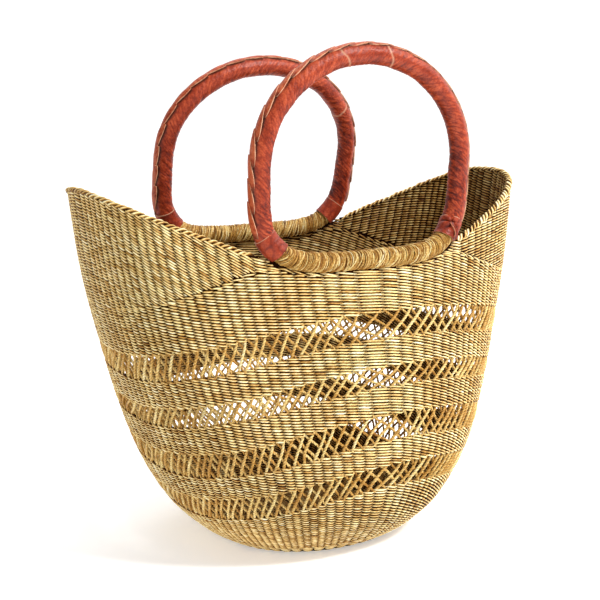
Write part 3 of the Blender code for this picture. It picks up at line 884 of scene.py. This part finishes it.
def wingBorder(name):
    turn = wingTurns(0.0 if ends[name] > 0 else math.pi, border["pathSteps"])
    path = wallPoint(turn, rimHeight(turn), wallShape["thickness"] / 2)
    length = pathDistances(path)[-1]
    share = np.linspace(0, 1, border["stations"])
    over, outside = np.sin(math.pi * share), np.cos(math.pi * share)
    strands = []
    before, after = border["startShares"]
    for start in np.arange(before * border["reach"], length + after * border["reach"], border["pitch"]):
        distance = start + border["reach"] * (share + border["slide"] * rng.uniform(-1, 1))
        centre, direction = alongPath(path, np.clip(distance, 0, length))
        outward = unit(centre * [1, 1, 0])
        outward = unit(outward - direction * (direction * outward).sum(-1, keepdims=True))
        up = np.cross(outward, direction)
        up *= np.sign(up[:, 2:])
        out = border["out"] * outside * (0.75 + 0.25 * over)
        rise = (-border["drop"] + (border["drop"] - border["crest"]) * over
                + border["lift"] * rng.uniform(-1, 1))
        points = centre + outward * out[:, None] + up * rise[:, None]
        tone = 0.50 + border["endTone"] * rng.uniform(-1, 1) + border["streakTone"] * wander(len(points), 4)
        radius = border["radius"] * rng.uniform(*border["sizes"])
        strands.append({"points": points, "radii": mix(border["thin"], radius, over ** 0.6), "closed": False,
                        # painted shade where each end goes down beside the wall
                        "tone": tone, "hollow": border["hollow"] * (1 - over) ** 1.5,
                        "outward": unit(outward * outside[:, None] + up * (over + 0.2)[:, None])})
    rowPiece(f"border_braid_{name}", strands, f"wing_border_{name}")


# the rolls along the rim: fine grass wound round a bundle

roll = {
    "core": 0.00745, "strand": 0.00048, "seat": 0.75, "pitch": 0.00122, "stations": 16,
    "start": 0.0085, "past": 0.003, "coreSteps": 60, "coreTone": 0.1,
    "tilt": 0.0062, "tiltShares": (0.55, 0.45), "tiltTurn": -0.9, "slide": 0.00042,
    "lumps": (0.00016, 0.00022), "sizeSpread": 0.22, "turnTone": 0.10, "streakTone": 0.34, "hollow": 0.85,
    "loose": 64, "looseStrand": 0.00042, "looseSeat": 1.9, "loosePlaces": (0.02, 0.92), "looseReach": 0.012,
    "looseTurns": (0.8, 1.8), "looseTilt": 1.2,
}


def rimRoll(name):
    side = sides[name]
    path = rollPath(side)
    start, length = roll["start"], pathDistances(path)[-1] - 2 * roll["start"]
    around, steps = roll["stations"], roll["coreSteps"]
    steady, wavy = roll["tiltShares"]
    strands = []

    def wind(turns, first, last, radius, size, sway, turnTone):
        count = int(turns * around)
        share = np.linspace(0, 1, count)
        angle = 2 * math.pi * turns * share + rng.uniform(0, 6)
        lean = roll["tilt"] * (steady + wavy * wander(count, around * 9)) * sway
        slant = lean * np.cos(angle + roll["tiltTurn"])
        distance = mix(first, last, share) + slant + roll["slide"] * wander(count, 5)
        swell = radius + roll["lumps"][0] * wander(count, 9) + roll["lumps"][1] * wander(count, around * 4)
        tone = 0.50 + turnTone * rng.uniform(-1, 1) + roll["streakTone"] * wander(count, around * 0.35)
        strands.append({"points": aroundPath(path, side, distance, angle, swell),
                        "radii": size * (1 + roll["sizeSpread"] * wander(count, 10)), "closed": False,
                        # painted shade at random stretches, for the slits between turns
                        "tone": tone, "hollow": roll["hollow"] * np.clip(wander(count, 5) - 0.35, 0, 1)})

    core = alongPath(path, np.linspace(start - roll["past"], start + length + roll["past"], steps))[0]
    # the core shows only between the turns: dark tone and painted shade
    strands.append({"points": core, "radii": np.full(steps, roll["core"]), "closed": False,
                    "tone": np.full(steps, roll["coreTone"]), "hollow": np.full(steps, roll["hollow"])})
    wind(length / roll["pitch"], start, start + length, roll["core"] + roll["strand"] * roll["seat"],
         roll["strand"], 1, 0)
    for _ in range(roll["loose"]):   # stray turns that cross the others
        first = start + rng.uniform(*roll["loosePlaces"]) * length
        reach = rng.uniform(-roll["looseReach"], roll["looseReach"])
        wind(rng.uniform(*roll["looseTurns"]), first, first + reach,
             roll["core"] + roll["strand"] * roll["looseSeat"], roll["looseStrand"], roll["looseTilt"],
             roll["turnTone"])
    obj = strandPiece(f"roll_winding_{name}", strands)
    finish(obj, "basket", [f"rim_roll_{name}"], strawRoll)
    print("roll", name)


# the leather hoops

leather = {
    "footRadius": 0.0092, "radius": 0.0087, "facets": 56, "step": 0.00075,
    "footInside": 0.0080, "tuck": 0.010,                      # thinner and smooth inside each wrap
    "widens": (-0.001, 0.004), "wrinkles": (-0.002, 0.006),   # and both over these stretches above it
    "foldHeight": 0.00060, "foldPitch": 0.0038, "foldTurns": 0.85, "foldWidth": 0.34, "foldSlope": 0.0078,
    "foldStrength": 0.55, "footStrength": 0.35, "footSpread": 0.08,   # deeper folds near the feet
    "coarseFolds": 0.7, "fineFolds": 0.5, "fineness": (2.4, 2.3),
    "lumpHeight": 0.0006, "lumpPitch": 0.014, "lumpTurns": 0.8,
    "otherFolds": 7.0,   # how far on in the pattern the back hoop's folds are
    "seams": {"front": (0.183, 0.227), "back": (0.300,)}, "seamWidth": 0.0007, "seamHeight": 0.00035,
    "seamSlope": 0.004, "seamWaver": 0.0012, "seamPale": 0.8, "seamStep": 0.001, "seamLength": 0.02,
    "bend": (-0.008, 0.022),   # heights counted from the pivot; nothing bends between them
}


def leatherRadius(height):
    rise = (height - pivotHeight) / (tipHeight - pivotHeight)
    return mix(leather["footRadius"], leather["radius"], smooth(rise))


def ringPath(name):   # the hoop with the first stretch of the roll at each end
    foot = alongPath(rollPath(sides[name]), np.linspace(leather["tuck"], 0.0005, 8))[0]
    return np.concatenate([foot, hoopPath(name), foot[::-1] * [-1, 1, 1]])


def tabMiddles(name):   # where the tabs of the laced seam sit along a hoop
    length = pathDistances(hoopPath(name))[-1]
    count = round((length - 2 * lace["start"]) / lace["pitch"])
    return [lace["start"] + (i + 0.5) * lace["pitch"]
            + lace["slide"] * noise.noise(Vector((i * 0.7, sides[name], 0))) for i in range(count)]


def tabHalf(u):   # half the width of a tab, u from -1 at its covered end to 1
    return lace["width"] / 2 * (1 - lace["taper"] * abs(u) ** lace["taperPower"])


def shadowBesideTab(along, angle, radius, middles):   # how deep in the painted shadow of the slit beside a tab a point lies
    deepest = 0.0
    for middle in middles:
        u = (along - middle) / (lace["length"] / 2)
        if abs(u) < 1:
            off = abs(angle - math.pi / 2 - lace["slant"] * u) * radius - tabHalf(u)
            shadow = math.exp(-((off - lace["shadowOff"]) / lace["shadowWidth"]) ** 2)
            deepest = max(deepest, shadow * float(rampAt(u, lace["shadowRamp"])))
    return deepest


def foldAt(along, angle, near):   # height of the leather at a point of a sleeve, and how far it's in a crease, which sets the crease's painted shade
    def crease(spot):
        return 1 - min(1.0, abs(noise.noise(spot)) / leather["foldWidth"]) ** 0.8

    c, s = math.cos(angle), math.sin(angle)
    spot = Vector((c * leather["foldTurns"], s * leather["foldTurns"],
                   (along - leather["foldSlope"] * s) / leather["foldPitch"]))
    turns, pitch = leather["fineness"]
    fine = Vector((spot.x * turns, spot.y * turns, spot.z * pitch + 9))
    atFoot = math.exp(-(near / leather["footSpread"]) ** 2)
    strength = (leather["foldStrength"] + leather["footStrength"] * atFoot) * (0.75 - 0.25 * s)
    depth = (leather["coarseFolds"] * crease(spot) + leather["fineFolds"] * crease(fine)) * strength
    lump = noise.noise(Vector((c * leather["lumpTurns"], s * leather["lumpTurns"],
                               along / leather["lumpPitch"])))
    return leather["lumpHeight"] * lump - leather["foldHeight"] * depth, depth


def pieceSeams(name, along, angle):   # where one strip of leather was joined to the next: height and pale line
    height = pale = 0.0
    for seam in leather["seams"][name]:
        past = (along - seam + leather["seamSlope"] * math.sin(angle + 0.5)
                + leather["seamWaver"] * noise.noise(Vector((angle * 2, seam * 90, 0))))
        pale = max(pale, math.exp(-(past / leather["seamWidth"]) ** 2))
        height += (leather["seamHeight"] * float(smooth(past / leather["seamStep"]))
                   * float(smooth(1 - past / leather["seamLength"])))
    return height, pale


def sleeve(name):
    path = ringPath(name)
    length = pathDistances(path)[-1]
    rows, facets = int(length / leather["step"]), leather["facets"]
    distance = np.linspace(0, length, rows)
    centre, direction = alongPath(path, distance)
    reach = np.minimum(distance, length - distance) - leather["tuck"]
    radii = mix(leather["footInside"], leatherRadius(centre[:, 2]), rampAt(reach, leather["widens"]))
    strand = {"points": centre, "radii": radii, "closed": False, "tone": np.full(rows, 0.5),
              "hollow": np.zeros(rows)}
    obj = strandPiece(f"leather_sleeve_{name}", [strand], facets)
    mesh = obj.data
    outward, away = across(direction, sides[name])
    looks = mesh.attributes["weave"].data
    first = len(mesh.vertices) - rows * facets
    tail = (length - pathDistances(hoopPath(name))[-1]) / 2
    middles = tabMiddles(name)
    for i in range(rows):
        near = min(distance[i], length - distance[i]) - tail
        calm = float(rampAt(near, leather["wrinkles"]))
        along = distance[i] - tail
        beside = [m for m in middles if abs(m - along) < lace["length"] / 2]
        for j in range(facets):
            vertex = mesh.vertices[first + i * facets + j]
            arm = np.array(vertex.co) - centre[i]
            angle = math.atan2(arm @ away[i], arm @ outward[i])
            height, depth = foldAt(along + (leather["otherFolds"] if sides[name] > 0 else 0), angle, near)
            step, pale = pieceSeams(name, along, angle)
            vertex.co = Vector(centre[i] + arm * (1 + calm * (height + step) / np.linalg.norm(arm)))
            # painted shadow beside the tabs
            shadow = shadowBesideTab(along, angle, float(radii[i]), beside)
            # painted shade in the creases, lighter on raised leather; pale seam lines
            looks[first + i * facets + j].color = (1 - depth * calm, shadow, leather["seamPale"] * pale, 1)
    mesh.update()
    finish(obj, None, [f"handle_leather_{name}", f"handle_core_{name}"], leatherRed)
    bendAtFoot(obj, name)
    print("sleeve", name, rows * facets, "points")


def bendAtFoot(obj, name):   # the piece's placement is baked into its mesh; the bend's heights are read but nothing bends
    y = pivotY(name)
    below, above = leather["bend"]
    pivotHeight + below
    pivotHeight + above
    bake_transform(obj)


# the laced seam: overlapping leather tabs along the hoop's outer edge

lace = {
    "start": 0.010, "pitch": 0.0182, "slide": 0.0016, "length": 0.0272, "width": 0.0074, "thickness": 0.0010,
    "slant": 0.36, "clearance": 0.0003, "rise": 0.0009, "acrossSteps": 6, "alongSteps": 12,
    "taper": 0.62, "taperPower": 2.4, "crown": 0.25, "crease": 0.5, "creaseWidth": 0.12,
    # painted shadow beside each tab and painted shade on its covered end
    "shadowOff": 0.0008, "shadowWidth": 0.0012, "shadowRamp": (-0.9, 0.9), "coveredShade": 0.8,
    "coveredRamp": (-1, 0.4),
}


def lacing(name):
    path = hoopPath(name)
    us = np.linspace(-1, 1, lace["alongSteps"] + 1)
    vs = np.linspace(-1, 1, lace["acrossSteps"] + 1)

    def tab(middle):   # low where it comes from under the last tab, high where it ends, with painted shade on its covered end
        def pointAt(u, v):
            distance = middle + u * lace["length"] / 2
            radius = float(leatherRadius(alongPath(path, distance)[0][2]))
            lift = lace["clearance"] + lace["rise"] * float(smooth((u + 1) / 2.0)) * (1 - lace["crown"] * v * v)
            angle = math.pi / 2 + v * tabHalf(u) / radius + lace["slant"] * u
            grain = noise.noise(Vector((v * 0.8, distance * 260, middle * 90)))
            # painted shade in thin creases across the tab
            crease = lace["crease"] * math.exp(-(grain / lace["creaseWidth"]) ** 2)
            # painted shade where the last tab covers it
            covered = lace["coveredShade"] * (1 - float(rampAt(u, lace["coveredRamp"])))
            return aroundPath(path, sides[name], distance, angle, radius + lift), (1.1 - crease, covered, 0)

        return sheet(f"laced_seam_{name}", us, vs, pointAt)

    tabs = [tab(middle) for middle in tabMiddles(name)]
    obj = joinSheets(tabs)
    thicken(obj, lace["thickness"], 0.0, (leatherLace, leatherCut))
    finish(obj, None, [f"handle_lacing_{name}"])
    bendAtFoot(obj, name)
    print("lacing", name, len(tabs), "tabs")


# the leather wraps at the feet: a strip wound once round, plain at one foot and knotted at the other

cuff = {
    "radius": 0.0088, "grow": 0.0004, "turns": 1.08, "firstTurn": 1.05, "thickness": 0.0008,
    "around": 96, "alongSteps": 24, "belly": 0.0003, "crumple": 0.00022, "crease": 0.3, "creaseWidth": 0.00004,
    "raised": 0.82, "edgePale": 0.9,
    "plain": ((-0.0035, -0.0010), (0.0155, 0.0017)),   # where its edges lie, and how far they slant
    "tied": ((-0.0062, -0.0010), (0.0125, -0.0035)),
    "knotted": (("front", "right"), ("back", "left")),
}
knot = {
    "pinch": (0.0, math.radians(-30)), "folds": 5, "foldHeight": 0.0011, "foldFrom": 0.003, "foldReach": 0.013,
    "waver": 2.2, "waverScale": 120, "raise": 0.0006, "dimple": 0.0009, "dimpleReach": 0.0018,
    # painted shade in the pinch: its reach and strength
    "creaseReach": 0.0016, "darkReach": 0.0014, "dark": 0.6,
    "point": math.radians(33), "pointLength": 0.0016, "pointWidth": 0.6,
    "stripWidth": 0.0044, "stripFrom": 0.0005, "stripLength": 0.0105, "stripTurn": -0.25, "stripSteps": (14, 4),
    "stripRise": 0.0015, "stripArch": 0.0012, "stripEdge": 0.0005,
}


def knotAt(turned, distance, radius):   # folds that run to the pinch: change of radius, crease, and painted shade in the pinch
    a, b = (turned - knot["pinch"][1]) * radius, distance - knot["pinch"][0]
    reach, way = math.hypot(a, b), math.atan2(b, a)
    waver = noise.noise(Vector((a * knot["waverScale"], b * knot["waverScale"], 4)))
    wave = math.cos(knot["folds"] * way + knot["waver"] * waver)
    spread = float(smooth(reach / knot["foldFrom"]))
    spread *= float(smooth(1 - (reach - knot["foldFrom"]) / knot["foldReach"]))
    change = (knot["foldHeight"] * wave * spread + knot["raise"] * spread
              - knot["dimple"] * math.exp(-(reach / knot["dimpleReach"]) ** 2))
    crease = max(spread * float(smooth(0.1 - wave)), math.exp(-(reach / knot["creaseReach"]) ** 2))
    return change, crease, knot["dark"] * math.exp(-(reach / knot["darkReach"]) ** 2)


def footCuff(name, end):
    side = sides[name]
    path = rollPath(side)
    if ends[end] > 0:
        path = path[::-1]
    tied = (name, end) in cuff["knotted"]
    (top, topSkew), (low, lowSkew) = cuff["tied" if tied else "plain"]

    def wrapAt(u, v):
        angle = math.pi * cuff["firstTurn"] + 2 * math.pi * cuff["turns"] * u
        crumple = cuff["crumple"] * noise.noise(Vector((u * 9, v * 2.5, side + ends[end] * 3)))
        radius = cuff["radius"] + cuff["grow"] * u + cuff["belly"] * math.sin(math.pi * v) + crumple
        distance = mix(top + topSkew * math.sin(angle), low + lowSkew * math.sin(angle), v)
        # painted shade along the crumple's creases
        crease, dark = cuff["crease"] * math.exp(-(crumple / cuff["creaseWidth"]) ** 2), 0.0
        if tied:
            turned = (angle + math.pi) % (2 * math.pi) - math.pi
            distance += knot["pointLength"] * v * max(0, 1 - abs(turned - knot["point"]) / knot["pointWidth"])
            change, fold, dark = knotAt(turned, distance, radius)
            radius, crease = radius + change, max(crease, fold)
        spot = aroundPath(path, side, distance, -side * angle, radius)
        # painted shade in creases and the pinch; pale cut edge
        return spot, (cuff["raised"] * (1 - crease), dark, cuff["edgePale"] if v == 0 else 0)

    def stripAt(share, v):   # the strip's end, pulled through the pinch and lying down the fold, with painted shade along its sunk middle and at the pinch
        distance = knot["pinch"][0] + knot["stripFrom"] + knot["stripLength"] * share
        middle = mix(knot["pinch"][1], knot["point"] + knot["stripTurn"], smooth(share))
        half = knot["stripWidth"] / 2 * (0.45 + 0.75 * math.sin(math.pi * (0.12 + 0.62 * share)))
        arch = knot["stripArch"] * math.sin(math.pi * share) ** 0.7
        radius = cuff["radius"] + knot["stripRise"] + arch + knot["stripEdge"] * abs(v)
        spot = aroundPath(path, side, distance, -side * (middle + v * half / radius), radius)
        return spot, (0.9 - 0.5 * (1 - abs(v)), 0.4 * (share < 0.1), 0)

    wrap = f"foot_wrap_{name}_{end}"
    us, vs = np.linspace(0, 1, cuff["around"] + 1), np.linspace(0, 1, cuff["alongSteps"] + 1)
    parts = [sheet(wrap, us, vs, wrapAt)]
    if tied:
        long, wide = knot["stripSteps"]
        parts.append(sheet(f"{wrap}_end", np.arange(long + 1) / long, np.linspace(-1, 1, wide + 1), stripAt))
    obj = joinSheets(parts)
    thicken(obj, cuff["thickness"], 1.0, (leatherRed, leatherCut))
    finish(obj, "basket", [f"foot_cuff_{name}_{end}"])


# build

base()
solidCup()
level = bands["foot"]
for i, height in enumerate(bands["openwork"]):
    openwork(i + 1, level, level + height)
    level += height
    if i < len(bands["woven"]):
        solidBand(f"band_rows_{i + 1}", level, level + bands["woven"][i], f"woven_band_{i + 1}")
        level += bands["woven"][i]
upperBand()
for end in ends:
    wing(end)
    wingBorder(end)
for name in sides:
    rimRoll(name)
    sleeve(name)
    lacing(name)
    for end in ends:
        footCuff(name, end)


# studio

view = {
    "azimuth": math.radians(-30.9), "distance": 1.0992, "height": 0.4172, "pitch": math.radians(10.6),
    "lens": 72.85, "sensor": 36, "shift": -0.006,
}
floorShape = {
    "halfWidth": 9, "near": -8, "far": 3.2, "sweep": 1.5, "sweepSteps": 9, "rise": 5.5,
    "colour": (0.93, 0.93, 0.93, 1), "roughness": 0.9, "specular": 0.1, "glow": 0.40,
}
lights = {   # place, size and power
    "key": ((1.0, -1.5, 2.1), 0.5, 79),
    "fill": ((-1.8, -0.8, 0.9), 1.4, 4.5),
    "side": ((1.9, -0.2, 1.0), 1.2, 9),
    "top": ((0.2, 0.9, 2.0), 1.2, 10),
}
worldLight = 0.40
lightsAim = (0, 0, 0.2)


def studioFloor():   # a plane whose far edge is spun up into a sweep and drawn on upwards
    shape = floorShape
    pick()
    bpy.ops.mesh.primitive_plane_add(size=1, location=(0, (shape["near"] + shape["far"]) / 2, 0))
    floor = bpy.context.object
    floor.name = floor.data.name = "floor"
    floor.scale = (2 * shape["halfWidth"], shape["far"] - shape["near"], 1)
    bpy.ops.object.transform_apply(location=True, rotation=True, scale=True)
    bpy.ops.object.mode_set(mode="EDIT")
    bpy.ops.mesh.select_mode(type="EDGE")
    bpy.ops.mesh.select_all(action="DESELECT")
    bpy.ops.object.mode_set(mode="OBJECT")
    for edge in floor.data.edges:
        edge.select = all(floor.data.vertices[i].co.y > 0 for i in edge.vertices)
    bpy.ops.object.mode_set(mode="EDIT")
    bpy.ops.mesh.spin(steps=shape["sweepSteps"], angle=math.radians(-90), axis=(1, 0, 0),
                      center=(0, shape["far"], shape["sweep"]))
    bpy.ops.mesh.extrude_region_move(TRANSFORM_OT_translate={"value": (0, 0, shape["rise"])})
    bpy.ops.object.mode_set(mode="OBJECT")
    facesOutwards(floor)
    floor.rotation_euler.z = view["azimuth"]
    bpy.ops.object.transform_apply(location=True, rotation=True, scale=True)
    floor.data.shade_smooth()
    material, shader, _ = newMaterial("pale floor", shape["roughness"], shape["specular"])
    shader.inputs["Base Color"].default_value = shape["colour"]
    shader.inputs["Emission Color"].default_value = (1, 1, 1, 1)
    shader.inputs["Emission Strength"].default_value = shape["glow"]
    floor.data.materials.append(material)


def placed(name, data, place, gaze):   # a lamp or a camera that looks along gaze
    obj = bpy.data.objects.new(name, data)
    obj.location = place
    obj.rotation_euler = Vector(gaze).to_track_quat("-Z", "Y").to_euler()
    bpy.context.scene.collection.objects.link(obj)
    return obj


def studio():
    studioFloor()
    world = bpy.data.worlds.new("studio")
    world.use_nodes = True
    background = world.node_tree.nodes["Background"]
    background.inputs["Color"].default_value = (1, 1, 1, 1)
    background.inputs["Strength"].default_value = worldLight
    bpy.context.scene.world = world
    for label, (place, size, power) in lights.items():
        data = bpy.data.lights.new(label, "AREA")
        data.size, data.energy = size, power
        placed(label, data, place, Vector(lightsAim) - Vector(place))
    data = bpy.data.cameras.new("camera")
    data.lens, data.sensor_width, data.shift_x = view["lens"], view["sensor"], view["shift"]
    a, p = view["azimuth"], view["pitch"]
    bpy.context.scene.camera = placed(
        "camera", data, (math.sin(a) * view["distance"], -math.cos(a) * view["distance"], view["height"]),
        (-math.sin(a) * math.cos(p), math.cos(a) * math.cos(p), -math.sin(p)))
    bpy.context.scene.view_settings.view_transform = "Standard"
    print("studio ready")


studio()
